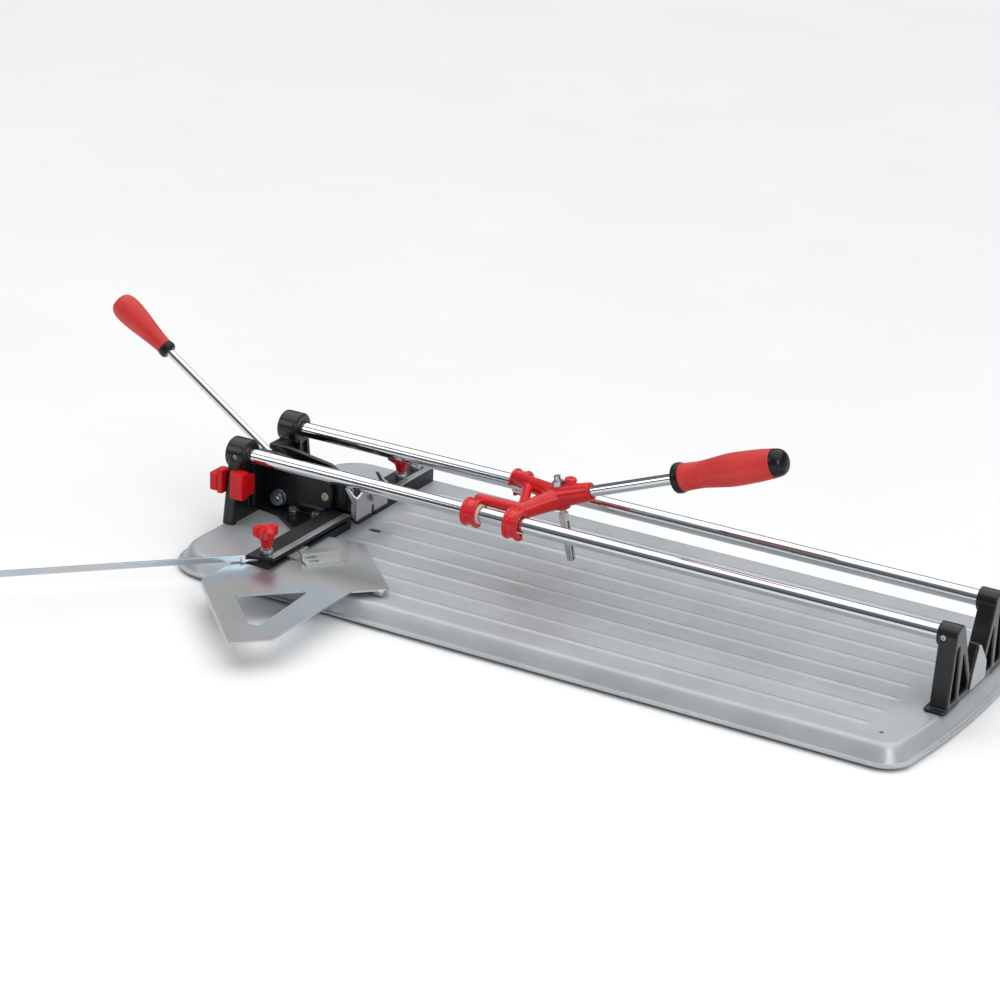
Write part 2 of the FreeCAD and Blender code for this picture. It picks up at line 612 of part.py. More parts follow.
os.makedirs("parts", exist_ok=True)
save("base_plate", base_plate())
save("base_feet", base_feet())
save("fence_foot_pad", fence_foot_pad())
save("base_screws", base_screws())
save("end_bracket", end_bracket())
save("far_bracket", far_bracket())
save("end_plate", end_plate())
save("front_rail", rail(-RAIL_Y))
save("rear_rail", rail(RAIL_Y))
save("rail_set_screws", rail_set_screws())
save("tower_clip", tower_clip())
save("fence_front", fence_half(-1))
save("fence_rear", fence_half(1))
save("ruler_strip_front", ruler_strip(-1))
save("ruler_strip_rear", ruler_strip(1))
save("front_stud", clamp_stud(FRONT_KNOB_Y, 28.2, 61.5))
save("front_nut", clamp_nut(FRONT_KNOB_Y))
save("front_knob", knob(FRONT_KNOB_Y))
save("rear_stud", clamp_stud(REAR_KNOB_Y, 30.2, 61.5))
save("rear_nut", clamp_nut(REAR_KNOB_Y))
save("rear_knob", knob(REAR_KNOB_Y))
save("spare_stud", clamp_stud(REAR_NUT_Y, 30.2, 54.0))
save("spare_nut", clamp_nut(REAR_NUT_Y))
save("breaker_housing", breaker_housing())
save("housing_bolts", housing_bolts())
save("pivot_pin", pivot_pin())
save("stop_bolt", stop_bolt())
save("breaker_arm", breaker_arm())
save("yoke_bolt", yoke_bolt())
save("shoe_yoke", shoe_yoke())
save("shoe_pads", shoe_pads())
save("lever_rod", lever_rod())
save("lever_collar", lever_collar())
save("lever_grip", lever_grip())
save("carriage_body", carriage_body())
save("carriage_glides", carriage_glides())
save("stem_nut", stem_nut())
save("scoring_stem", scoring_stem())
save("wheel_axle", wheel_axle())
save("scoring_wheel", scoring_wheel())
save("handle_rod", handle_rod())
save("handle_collar", handle_collar())
save("handle_grip", handle_grip())
save("handle_cap", handle_cap())
save("square_plate", square_plate())
save("square_bracket", square_bracket())
save("square_foot", square_foot())
save("side_arm", side_arm())
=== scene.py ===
import math
import bmesh
import bpy
from mathutils import Matrix, Vector


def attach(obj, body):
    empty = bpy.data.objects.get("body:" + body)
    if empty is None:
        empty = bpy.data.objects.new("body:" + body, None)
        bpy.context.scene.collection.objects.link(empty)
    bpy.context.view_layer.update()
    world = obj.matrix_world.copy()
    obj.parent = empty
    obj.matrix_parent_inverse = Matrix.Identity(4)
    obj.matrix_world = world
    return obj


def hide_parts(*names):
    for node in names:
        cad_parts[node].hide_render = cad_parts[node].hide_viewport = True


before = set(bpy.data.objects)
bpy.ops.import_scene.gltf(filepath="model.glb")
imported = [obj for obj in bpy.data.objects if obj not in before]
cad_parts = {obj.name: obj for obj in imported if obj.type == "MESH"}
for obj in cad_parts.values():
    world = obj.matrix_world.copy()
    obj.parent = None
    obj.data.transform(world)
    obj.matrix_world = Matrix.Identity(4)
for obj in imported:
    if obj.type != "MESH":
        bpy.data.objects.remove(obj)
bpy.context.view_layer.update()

# ---------------------------------------------------------------- base
# The base is one steel sheet pressed into a shallow tray turned upside down:
# flat bed with long rounded beads, sloped skirt all round and a narrow lip.
# It is coated with grey textured enamel after pressing.

MM = 0.001
BASE_TOP = 25.0
SHEET = 2.2
BASE_HALF = 195.0
BASE_LEFT = -147.0
BASE_RIGHT = 783.0
LEFT_CORNER = 60.0
RIGHT_CORNER = 34.0
END_BULGE = 12.0
END_RADIUS = ((BASE_HALF - RIGHT_CORNER) ** 2 + END_BULGE ** 2) / (2 * END_BULGE)
END_CENTRE = BASE_RIGHT + END_BULGE - END_RADIUS
LIP_LOW = 4.5
BEAD_PITCH = 35.7
BEAD_START = 25.0
BEAD_END = 722.0
BEAD_RISE = 1.2
BEAD_REACH = 5.2
MIDDLE_BEAD_SHIFT = 20      # the middle bead starts behind the breaking zone
BEAD_TAPER = 0.6            # the ends of a bead run out longer than its sides
BEAD_ROWS = range(-4, 5)
SKIRT_STEP = 0.25           # spacing of the table of skirt heights
SKIRT_SPAN = 23.0           # width of the finely meshed edge, skirt and folds
FLAT_CREASE = 40.0          # edges sharper than this stay crisp on sheets and bars
SHEET_CREASE = 50.0


def linear(code):
    """Turns an sRGB hex colour into the linear colour a shader takes."""
    parts = [int(code[i:i + 2], 16) / 255 for i in (0, 2, 4)]
    return [p / 12.92 if p <= 0.04045 else ((p + 0.055) / 1.055) ** 2.4 for p in parts] + [1.0]


def node(tree, kind, settings=None, **links):
    """Adds one shader node with its settings (sockets, properties or ramp stops) and links."""
    made = tree.nodes.new("ShaderNode" + kind)
    for key, value in (settings or {}).items():
        if key == "stops":
            ramp = made.color_ramp
            while len(ramp.elements) < len(value):
                ramp.elements.new(0.5)
            for element, (place, colour) in zip(ramp.elements, value):
                element.position = place
                element.color = linear(colour)
        elif isinstance(key, int) or key in made.inputs:
            made.inputs[key].default_value = value
        else:
            setattr(made, key, value)
    for key, source in links.items():
        tree.links.new(source, made.inputs[key.replace("_", " ")])
    return made


def material(name, settings):
    """Starts a material: its shader, and places on the piece in metres."""
    made = bpy.data.materials.new(name)
    made.use_nodes = True
    tree = made.node_tree
    tree.nodes.clear()
    shader = node(tree, "BsdfPrincipled", settings)
    node(tree, "OutputMaterial", Surface=shader.outputs["BSDF"])
    place = node(tree, "TexCoord").outputs["Object"]
    return made, tree, shader, place


def mesh_piece(name, points, faces):
    """A new object from points in millimetres."""
    mesh = bpy.data.meshes.new(name)
    mesh.from_pydata([(x * MM, y * MM, z * MM) for x, y, z in points], [], faces)
    mesh.update()
    piece = bpy.data.objects.new(name, mesh)
    bpy.context.collection.objects.link(piece)
    return piece


def baked(piece):
    """Applies a piece's modifiers."""
    bpy.context.view_layer.update()
    graph = bpy.context.evaluated_depsgraph_get()
    mesh = bpy.data.meshes.new_from_object(piece.evaluated_get(graph))
    piece.modifiers.clear()
    piece.data = mesh
    return piece


def placed(piece, coat, body, slot, *stands_for, crease=FLAT_CREASE):
    """Gives a finished piece its material, its body and the CAD nodes it stands for."""
    piece.data.materials.clear()
    piece.data.materials.append(coat)
    piece.data.shade_smooth()
    piece.data.set_sharp_from_angle(angle=math.radians(crease))
    if crease == FLAT_CREASE:
        even_out = piece.modifiers.new("flat_faces", "WEIGHTED_NORMAL")
        even_out.keep_sharp = True
        even_out.weight = 80
    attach(piece, body)
    if stands_for:
        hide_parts(*stands_for)
    return piece


# Textured polyester enamel: a hard grey paint with a fine orange-peel skin,
# half gloss, so that broad soft light turns into long even gradients.
enamel, tree, shader, place = material("grey_textured_enamel", {
    "Metallic": 0.25, "Roughness": 0.36, "Coat Weight": 0.25, "Coat Roughness": 0.3})
mottle = node(tree, "TexNoise", {"Scale": 14.0, "Detail": 5.0, "Roughness": 0.6}, Vector=place)
greys = [(0.3, "ACB0B4"), (0.55, "B4B8BB"), (0.8, "BABDBF")]
tint = node(tree, "ValToRGB", {"stops": greys}, Fac=mottle.outputs["Fac"])
tree.links.new(tint.outputs["Color"], shader.inputs["Base Color"])
# orange peel about 1.5 mm across, and wear that changes the gloss over a hand's width
peel = node(tree, "TexNoise", {"Scale": 700.0, "Detail": 2.0}, Vector=place)
wear = node(tree, "TexNoise", {"Scale": 22.0, "Detail": 4.0}, Vector=place)
gloss = node(tree, "MapRange", {"From Min": 0.3, "From Max": 0.7, "To Min": 0.30, "To Max": 0.44},
             Value=wear.outputs["Fac"])
tree.links.new(gloss.outputs["Result"], shader.inputs["Roughness"])
skin = node(tree, "Bump", {"Strength": 0.22, "Distance": 0.0005}, Height=peel.outputs["Fac"])
tree.links.new(skin.outputs["Normal"], shader.inputs["Normal"])


def base_left(y):
    """Where the base begins at a given Y, round the left corners."""
    over = abs(y) - (BASE_HALF - LEFT_CORNER)
    if over <= 0:
        return BASE_LEFT
    return BASE_LEFT + LEFT_CORNER - math.sqrt(max(LEFT_CORNER ** 2 - over ** 2, 0))


def base_right(y):
    """Where the base ends at a given Y: a shallow bow between round corners."""
    over = abs(y) - (BASE_HALF - RIGHT_CORNER)
    if over <= 0:
        return END_CENTRE + math.sqrt(END_RADIUS ** 2 - y ** 2)
    return BASE_RIGHT - RIGHT_CORNER + math.sqrt(max(RIGHT_CORNER ** 2 - over ** 2, 0))


def inset_at(x, y):
    """How far a point lies in from the edge of the base."""
    side = BASE_HALF - abs(y)
    if x < BASE_LEFT + LEFT_CORNER and side < LEFT_CORNER:
        return LEFT_CORNER - math.hypot(x - BASE_LEFT - LEFT_CORNER, LEFT_CORNER - side)
    if x > BASE_RIGHT - RIGHT_CORNER and side < RIGHT_CORNER:
        return RIGHT_CORNER - math.hypot(x - BASE_RIGHT + RIGHT_CORNER, RIGHT_CORNER - side)
    return min(side, x - BASE_LEFT, END_RADIUS - math.hypot(x - END_CENTRE, y))


def ease(t):
    """A soft step from 0 to 1."""
    t = min(max(t, 0.0), 1.0)
    return t * t * (3 - 2 * t)


def skirt_table():
    """Height of the sheet against inset: lip, sloped skirt, rounded fold, bed."""
    steps = [SKIRT_STEP * i for i in range(100)]
    slopes = [ease((d - 3.2) / 2.0) * (1 - ease((d - 8.5) / 11.0)) for d in steps]
    total = sum(slopes)
    heights, run = [], 0.0
    for slope in slopes:
        heights.append(LIP_LOW + SHEET + (BASE_TOP - LIP_LOW - SHEET) * run / total)
        run += slope
    return heights


SKIRT = skirt_table()


def base_height(x, y):
    """Height of the top of the sheet, with the beads that stiffen it."""
    d = max(inset_at(x, y), 0.0) / SKIRT_STEP
    i = int(d)
    z = BASE_TOP if i >= len(SKIRT) - 1 else SKIRT[i] + (SKIRT[i + 1] - SKIRT[i]) * (d - i)
    for k in BEAD_ROWS:
        start = BEAD_START if k else BEAD_START + MIDDLE_BEAD_SHIFT
        along = min(max(x, start + BEAD_REACH), BEAD_END - BEAD_REACH)
        off = math.hypot((x - along) * BEAD_TAPER, y - k * BEAD_PITCH)
        if off < BEAD_REACH:
            z += BEAD_RISE * math.cos(0.5 * math.pi * off / BEAD_REACH) ** 2
    return z


def spread(length, middle_step):
    """Stations across a span, close together in the skirt at both ends."""
    edge = [0.0, 0.5, 1.2, 2.2, 3.2, 4.0, 4.8, 5.6, 6.6, 7.8, 9.2, 10.6,
            12.0, 13.2, 14.4, 15.6, 16.8, 18.0, 20.0, SKIRT_SPAN]
    flat = length - 2 * SKIRT_SPAN
    count = round(flat / middle_step)
    middle = [SKIRT_SPAN + flat * i / count for i in range(1, count)]
    return edge + middle + [length - e for e in reversed(edge)]


rows = [v - BASE_HALF for v in spread(2 * BASE_HALF, 1.2)]
span = BASE_RIGHT + END_BULGE - BASE_LEFT
columns = spread(span, 5.5)
points = []
for y in rows:
    left, right = base_left(y), base_right(y)
    for c in columns:
        if c <= SKIRT_SPAN:
            x = left + c
        elif c >= span - SKIRT_SPAN:
            x = right - (span - c)
        else:
            across = (c - SKIRT_SPAN) / (span - 2 * SKIRT_SPAN)
            x = left + SKIRT_SPAN + (right - left - 2 * SKIRT_SPAN) * across
        points.append((x, y, base_height(x, y)))
wide = len(columns)
faces = [(j * wide + i, j * wide + i + 1, (j + 1) * wide + i + 1, (j + 1) * wide + i)
         for j in range(len(rows) - 1) for i in range(wide - 1)]
base = mesh_piece("pressed_base", points, faces)
thick = base.modifiers.new("sheet", "SOLIDIFY")
thick.thickness = SHEET * MM
thick.offset = -1.0
baked(base)


def drum(name, x, y, low, high, r, stretch=0.0):
    """A plain round cutter, drawn out along X by stretch."""
    n = 32
    ring = [(x + math.copysign(stretch, math.cos(a)) + r * math.cos(a), y + r * math.sin(a))
            for a in [2 * math.pi * (k + 0.5) / n for k in range(n)]]
    points = [(px, py, low) for px, py in ring] + [(px, py, high) for px, py in ring]
    faces = [tuple(reversed(range(n))), tuple(range(n, 2 * n))]
    faces += [(k, (k + 1) % n, n + (k + 1) % n, n + k) for k in range(n)]
    return mesh_piece(name, points, faces)


# a short slot at the head of the middle bead, and the hole for a bench screw
cutters = [drum("slot_cutter", 26, 0, 15, 35, 4, stretch=4),
           drum("hole_cutter", 742, -155, 15, 35, 2.5)]
for cutter in cutters:
    cut = base.modifiers.new("cut", "BOOLEAN")
    cut.object = cutter
    cut.solver = "EXACT"
baked(base)
for cutter in cutters:
    bpy.data.objects.remove(cutter)
placed(base, enamel, "frame", "grey_coat", "base_plate", crease=SHEET_CREASE)

# ---------------------------------------------------------------- feet
# Six turned rubber feet and a round pad under the breaking zone hold the sheet up
# and keep it from sliding. Moulded, slightly waisted, with a grooved sole.


def ring_faces(rings, sides):
    """Four-sided faces between rings of points that follow one another."""
    return [(j * sides + k, j * sides + (k + 1) % sides,
             (j + 1) * sides + (k + 1) % sides, (j + 1) * sides + k)
            for j in range(rings - 1) for k in range(sides)]


def lathe(name, foot, axis, stations, radius, sides=48):
    """A mesh round a line: radius(s, angle) in millimetres at each station s, closed at both ends."""
    turn = Vector(axis).to_track_quat("Z", "Y").to_matrix()
    points = []
    for s in stations:
        for k in range(sides):
            a = 2 * math.pi * k / sides
            r = radius(s, a)
            spot = Vector((r * math.cos(a), r * math.sin(a), s))
            points.append(tuple(Vector(foot) + turn @ spot))
    faces = ring_faces(len(stations), sides)
    faces.append(tuple(reversed(range(sides))))
    faces.append(tuple(range((len(stations) - 1) * sides, len(stations) * sides)))
    return mesh_piece(name, points, faces)


def profile(pairs):
    """Radius along a line through (s, r) pairs, with straight runs between them."""
    def radius(s, angle):
        for (s0, r0), (s1, r1) in zip(pairs, pairs[1:]):
            if s <= s1:
                return r0 + (r1 - r0) * (s - s0) / max(s1 - s0, 1e-9)
        return pairs[-1][1]
    return radius


def turned(name, foot, axis, pairs, sides=48):
    """A turned piece whose edges are where its pairs are."""
    stations = [s for s, r in pairs]
    radii = iter([r for s, r in pairs for k in range(sides)])
    return lathe(name, foot, axis, stations, lambda s, a: next(radii), sides)


def joined(name, pieces):
    """Joins loose meshes into one piece."""
    whole = bmesh.new()
    for piece in pieces:
        whole.from_mesh(piece.data)
        bpy.data.objects.remove(piece)
    mesh = bpy.data.meshes.new(name)
    whole.to_mesh(mesh)
    whole.free()
    made = bpy.data.objects.new(name, mesh)
    bpy.context.collection.objects.link(made)
    return made


# Moulded black rubber: dull, slightly dusty, with a fine spark-eroded grain.
rubber, tree, shader, place = material("moulded_black_rubber", {
    "Roughness": 0.72, "Specular IOR Level": 0.35})
dust = node(tree, "TexNoise", {"Scale": 60.0, "Detail": 4.0}, Vector=place)
tint = node(tree, "ValToRGB", {"stops": [(0.35, "17181A"), (0.75, "26272A")]}, Fac=dust.outputs["Fac"])
tree.links.new(tint.outputs["Color"], shader.inputs["Base Color"])
grit = node(tree, "TexNoise", {"Scale": 1500.0, "Detail": 1.0}, Vector=place)
skin = node(tree, "Bump", {"Strength": 0.25, "Distance": 0.0003}, Height=grit.outputs["Fac"])
tree.links.new(skin.outputs["Normal"], shader.inputs["Normal"])

UNDER = BASE_TOP - SHEET
UP = (0, 0, 1)
sole = [(0, 6.0), (0, 12.6), (0.9, 13.5), (5, 14.0), (6, 13.2), (8, 13.2),
        (9, 14.4), (20, 15.6), (UNDER, 16.0)]
feet = []
for x in (-92.0, 320.0, 735.0):
    for y in (-148.0, 148.0):
        feet.append(turned("foot", (x, y, 0), UP, sole))
placed(joined("rubber_feet", feet), rubber, "frame", "black_rubber", "base_feet")
disc = [(0, 15.0), (1.0, 16.0), (10, 16.0), (11, 15.2), (13, 15.2), (14, 16.0), (UNDER, 16.0)]
pad = turned("fence_pad", (0, 0, 0), UP, disc)
placed(pad, rubber, "frame", "black_rubber", "fence_foot_pad")

# ---------------------------------------------------------------- end castings
# The rails are held by two pressure castings in aluminium: a wall with two round
# towers at the breaker end, two posts with a pointed web at the far end.
# Both are shot-blasted and painted satin black, so edges stay softly rounded.

NO_CREASE = 180.0           # castings and grips are smooth all over


def cast(name, source, voxel, passes):
    """A copy of a CAD solid with every edge softened as a casting's is."""
    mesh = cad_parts[source].data.copy()
    piece = bpy.data.objects.new(name, mesh)
    bpy.context.collection.objects.link(piece)
    skin = piece.modifiers.new("skin", "REMESH")
    skin.mode = "VOXEL"
    skin.voxel_size = voxel * MM
    smooth = piece.modifiers.new("smooth", "SMOOTH")
    smooth.factor = 0.5
    smooth.iterations = passes
    return baked(piece)


# Satin black paint over a blasted casting: broad soft highlights, a faint
# pebbled skin about 1 mm across, and a painted highlight: sharp edges get a lighter grey base colour.
black_paint, tree, shader, place = material("satin_black_paint", {
    "Roughness": 0.38, "Specular IOR Level": 0.35, "Coat Weight": 0.3, "Coat Roughness": 0.14})
cloud = node(tree, "TexNoise", {"Scale": 35.0, "Detail": 4.0}, Vector=place)
tint = node(tree, "ValToRGB", {"stops": [(0.35, "0C0D10"), (0.7, "121317")]}, Fac=cloud.outputs["Fac"])
# painted highlight: sharp convex edges get a lighter grey (202226) mixed into the base colour
sharpness = node(tree, "NewGeometry").outputs["Pointiness"]
painted_edge_highlight_mask = node(tree, "ValToRGB", {"stops": [(0.50, "000000"), (0.62, "FFFFFF")]}, Fac=sharpness)
edge = node(tree, "MixRGB", {"Color2": linear("202226")},
            Color1=tint.outputs["Color"], Fac=painted_edge_highlight_mask.outputs["Color"])
tree.links.new(edge.outputs["Color"], shader.inputs["Base Color"])
pebble = node(tree, "TexNoise", {"Scale": 900.0, "Detail": 2.0}, Vector=place)
skin = node(tree, "Bump", {"Strength": 0.16, "Distance": 0.0004}, Height=pebble.outputs["Fac"])
tree.links.new(skin.outputs["Normal"], shader.inputs["Normal"])

placed(cast("tower_casting", "end_bracket", 0.9, 5), black_paint,
       "frame", "black_casting", "end_bracket", crease=NO_CREASE)
placed(cast("far_casting", "far_bracket", 0.9, 5), black_paint,
       "frame", "black_casting", "far_bracket", crease=NO_CREASE)

# ---------------------------------------------------------------- end plate
# A thin drawn aluminium plate is glued to the outer face of the far casting's
# pointed web. It is left blank.


def eased(name, source, width, steps=2, limit=28.0):
    """A copy of a CAD solid with its sharp edges broken by a small round."""
    whole = bmesh.new()
    whole.from_mesh(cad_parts[source].data)
    bmesh.ops.remove_doubles(whole, verts=whole.verts, dist=2e-6)
    bmesh.ops.dissolve_limit(whole, angle_limit=math.radians(0.6),
                             verts=whole.verts, edges=whole.edges)
    mesh = bpy.data.meshes.new(name)
    whole.to_mesh(mesh)
    whole.free()
    piece = bpy.data.objects.new(name, mesh)
    bpy.context.collection.objects.link(piece)
    round_ = piece.modifiers.new("round", "BEVEL")
    round_.width = width * MM
    round_.segments = steps
    round_.limit_method = "ANGLE"
    round_.angle_limit = math.radians(limit)
    round_.use_clamp_overlap = True
    round_.harden_normals = False
    return baked(piece)


# Mill-finish aluminium: soft grey metal, with fine drawing lines along X.
aluminium, tree, shader, place = material("drawn_aluminium", {"Metallic": 1.0, "Roughness": 0.38})
fine = node(tree, "Mapping", {"Scale": (12.0, 2200.0, 2200.0)}, Vector=place)
lines = node(tree, "TexNoise", {"Scale": 1.0, "Detail": 3.0}, Vector=fine.outputs["Vector"])
tint = node(tree, "ValToRGB", {"stops": [(0.3, "A4A8AB"), (0.7, "B6BABD")]}, Fac=lines.outputs["Fac"])
tree.links.new(tint.outputs["Color"], shader.inputs["Base Color"])
skin = node(tree, "Bump", {"Strength": 0.12, "Distance": 0.0002}, Height=lines.outputs["Fac"])
tree.links.new(skin.outputs["Normal"], shader.inputs["Normal"])
placed(eased("blank_end_plate", "end_plate", 0.5), aluminium, "frame", "anodised", "end_plate")

# ---------------------------------------------------------------- rails and screws
# Two ground steel bars, hard chromed, run through both castings and are locked
# by grub screws. The castings are held by socket screws from under the base.

# Hard chrome: a near-white mirror with only the faintest grinding haze.
chrome, tree, shader, place = material("hard_chrome", {
    "Base Color": linear("D4D6D8"), "Metallic": 1.0, "Roughness": 0.07})
fine = node(tree, "Mapping", {"Scale": (3.0, 900.0, 900.0)}, Vector=place)
haze = node(tree, "TexNoise", {"Scale": 1.0, "Detail": 2.0}, Vector=fine.outputs["Vector"])
gloss = node(tree, "MapRange", {"To Min": 0.05, "To Max": 0.13}, Value=haze.outputs["Fac"])
tree.links.new(gloss.outputs["Result"], shader.inputs["Roughness"])

RAIL_Y = 54.5
RAIL_Z = 105.0
RAIL_START = -137.5
RAIL_RADIUS = 9.0
ALONG = (1, 0, 0)
ends = [(0, 7.6), (0, 8.0), (1.0, RAIL_RADIUS), (300.0, RAIL_RADIUS), (600.0, RAIL_RADIUS),
        (908.0, RAIL_RADIUS), (909.0, 8.0), (909.0, 7.6)]
for side, y in (("front", -RAIL_Y), ("rear", RAIL_Y)):
    bar = turned(side + "_bar", (RAIL_START, y, RAIL_Z), ALONG, ends, sides=96)
    placed(bar, chrome, "frame", "chrome", side + "_rail")

# Bright zinc plate: smooth bluish white metal with a faint pink and straw cloud
# of passivation some 10 cm across, and a soft haze over the sheet's rolled face.
zinc, tree, shader, place = material("bright_zinc_plate", {"Metallic": 0.95, "Roughness": 0.3})
film = node(tree, "TexNoise", {"Scale": 7.0, "Detail": 1.0, "Distortion": 0.6}, Vector=place)
hues = [(0.30, "B2C0C6"), (0.45, "B9C2C8"), (0.53, "C2BEC2"), (0.60, "BDBEBA"), (0.75, "B4C0C6")]
tint = node(tree, "ValToRGB", {"stops": hues}, Fac=film.outputs["Fac"])
tree.links.new(tint.outputs["Color"], shader.inputs["Base Color"])
cloud = node(tree, "TexNoise", {"Scale": 40.0, "Detail": 3.0}, Vector=place)
gloss = node(tree, "MapRange", {"To Min": 0.26, "To Max": 0.34}, Value=cloud.outputs["Fac"])
tree.links.new(gloss.outputs["Result"], shader.inputs["Roughness"])
rolled = node(tree, "TexNoise", {"Scale": 500.0, "Detail": 2.0}, Vector=place)
skin = node(tree, "Bump", {"Strength": 0.03, "Distance": 0.0002}, Height=rolled.outputs["Fac"])
tree.links.new(skin.outputs["Normal"], shader.inputs["Normal"])

placed(eased("grub_screws", "rail_set_screws", 0.3), zinc, "frame", "zinc", "rail_set_screws")
placed(eased("casting_screws", "base_screws", 0.4), zinc, "frame", "zinc", "base_screws")

# ---------------------------------------------------------------- tower clip
# A red moulded clip snaps through the window in the front tower and parks the
# lever for carrying. Glossy polyamide, with a shallow step at each end.

# Red polyamide: glossy moulded plastic with the faint flow marks of the mould.
RED_GLOW = (0.004, 0.001, 0.001)   # red light travels furthest inside the plastic
red_plastic, tree, shader, place = material("glossy_red_polyamide", {
    "Roughness": 0.3, "Specular IOR Level": 0.35,
    "Subsurface Weight": 0.04, "Subsurface Radius": RED_GLOW, "Subsurface Scale": 1.0})
flow = node(tree, "TexNoise", {"Scale": 40.0, "Detail": 3.0}, Vector=place)
tint = node(tree, "ValToRGB", {"stops": [(0.3, "C80810"), (0.7, "DA1018")]}, Fac=flow.outputs["Fac"])
tree.links.new(tint.outputs["Color"], shader.inputs["Base Color"])
fleck = node(tree, "TexNoise", {"Scale": 700.0, "Detail": 1.0}, Vector=place)
skin = node(tree, "Bump", {"Strength": 0.05, "Distance": 0.0003}, Height=fleck.outputs["Fac"])
tree.links.new(skin.outputs["Normal"], shader.inputs["Normal"])
placed(cast("parking_clip", "tower_clip", 0.5, 4), red_plastic,
       "frame", "moulded_red", "tower_clip", crease=NO_CREASE)

# ---------------------------------------------------------------- fence
# The fence is two lengths of black anodised aluminium bar, screwed across the
# bed from below, with a gap for the breaker. A pale measuring strip is glued
# along the top of each, with a mark every 5 mm.

# Black anodised bar: dense matt black over fine extrusion lines along Y.
anodised, tree, shader, place = material("black_anodised_bar", {"Metallic": 0.35, "Roughness": 0.42})
fine = node(tree, "Mapping", {"Scale": (1800.0, 10.0, 1800.0)}, Vector=place)
lines = node(tree, "TexNoise", {"Scale": 1.0, "Detail": 3.0}, Vector=fine.outputs["Vector"])
tint = node(tree, "ValToRGB", {"stops": [(0.3, "16171A"), (0.7, "222327")]}, Fac=lines.outputs["Fac"])
tree.links.new(tint.outputs["Color"], shader.inputs["Base Color"])
skin = node(tree, "Bump", {"Strength": 0.12, "Distance": 0.0002}, Height=lines.outputs["Fac"])
tree.links.new(skin.outputs["Normal"], shader.inputs["Normal"])
placed(eased("front_fence_bar", "fence_front", 0.6, 3), anodised,
       "frame", "black_anodised", "fence_front")
placed(eased("rear_fence_bar", "fence_rear", 0.6, 3), anodised,
       "frame", "black_anodised", "fence_rear")
placed(eased("front_measure", "ruler_strip_front", 0.2), aluminium,
       "frame", "anodised", "ruler_strip_front")
placed(eased("rear_measure", "ruler_strip_rear", 0.2), aluminium,
       "frame", "anodised", "ruler_strip_rear")


def block(x0, x1, y0, y1, z0, z1):
    """Corners and faces of a small filled mark."""
    corners = [(x, y, z) for x in (x0, x1) for y in (y0, y1) for z in (z0, z1)]
    return corners, [(0, 1, 3, 2), (4, 6, 7, 5), (0, 4, 5, 1), (2, 3, 7, 6), (0, 2, 6, 4), (1, 5, 7, 3)]


# Etched marks filled with matt black ink that has soaked unevenly.
ink, tree, shader, place = material("matt_black_ink", {"Roughness": 0.6})
soak = node(tree, "TexNoise", {"Scale": 900.0, "Detail": 2.0}, Vector=place)
tint = node(tree, "ValToRGB", {"stops": [(0.3, "1A1A1C"), (0.8, "3A3A3D")]}, Fac=soak.outputs["Fac"])
tree.links.new(tint.outputs["Color"], shader.inputs["Base Color"])
MARK_PITCH = 5.0
MARK_HALF = 0.22
MARK_EDGE = -1.4
MARK_LOW = 43.4
MARK_HIGH = 43.54
points, faces = [], []
for step in range(3, 35):
    for side in (-1, 1):
        reach = 5.2 if step % 2 == 0 else 3.2
        y = side * step * MARK_PITCH
        corners, sides = block(MARK_EDGE - reach, MARK_EDGE,
                               y - MARK_HALF, y + MARK_HALF, MARK_LOW, MARK_HIGH)
        faces += [tuple(len(points) + i for i in f) for f in sides]
        points += corners
placed(mesh_piece("measure_marks", points, faces), ink, "frame", "black_plastic")

# ---------------------------------------------------------------- clamp studs and knobs
# Zinc-plated M8 studs stand in the fence with a hexagon nut at the foot, and a
# red three-winged knob screws down on the front and rear ones to hold the square
# and the side arm. The third stands beside the rear one as a spare.


def thread(name, foot, axis, low, high, r, pitch=1.25, sides=28):
    """A rod with a cut thread between low and high."""
    depth = 0.55 * pitch
    count = int((high - low) / (pitch / 6))
    stations = [low + (high - low) * i / count for i in range(count + 1)]

    def radius(s, angle):
        wave = abs(((s / pitch - angle / (2 * math.pi)) % 1.0) * 2 - 1)
        fade = ease((high - s) / pitch)
        return r - depth * (1 - fade * wave) * 0.9
    return lathe(name, foot, axis, stations, radius, sides)


def hexagon(name, foot, axis, across, height, hole=0.0, turn=0.0):
    """A hexagon nut or bolt head with the round chamfer that a lathe leaves on its corners."""
    flat = across / 2
    corner = flat / math.cos(math.pi / 6)
    sides = 48
    lift = 0.08 * across
    angles = [2 * math.pi * k / sides for k in range(sides)]

    def circle(r, z):
        return [(r * math.cos(a), r * math.sin(a), z) for a in angles]

    mouth = max(hole, 0.3)
    rings = []
    for top in (False, True):
        ring = []
        for a in angles:
            wedge = (a + turn) % (math.pi / 3) - math.pi / 6
            r = flat / math.cos(wedge)
            drop = lift * (r - flat) / (corner - flat)
            ring.append((r * math.cos(a), r * math.sin(a), height - drop if top else drop))
        face = circle(0.97 * flat, height if top else 0.0)
        inner = circle(mouth, height - 0.01 if top else 0.01)
        rings += [ring, face, inner] if top else [inner, face, ring]
    rotate = Vector(axis).to_track_quat("Z", "Y").to_matrix()
    points = [tuple(Vector(foot) + rotate @ Vector(p)) for ring in rings for p in ring]
    last = (len(rings) - 1) * sides
    faces = ring_faces(len(rings), sides)
    faces += [(last + k, last + (k + 1) % sides, (k + 1) % sides, k) for k in range(sides)]
    return mesh_piece(name, points, faces)


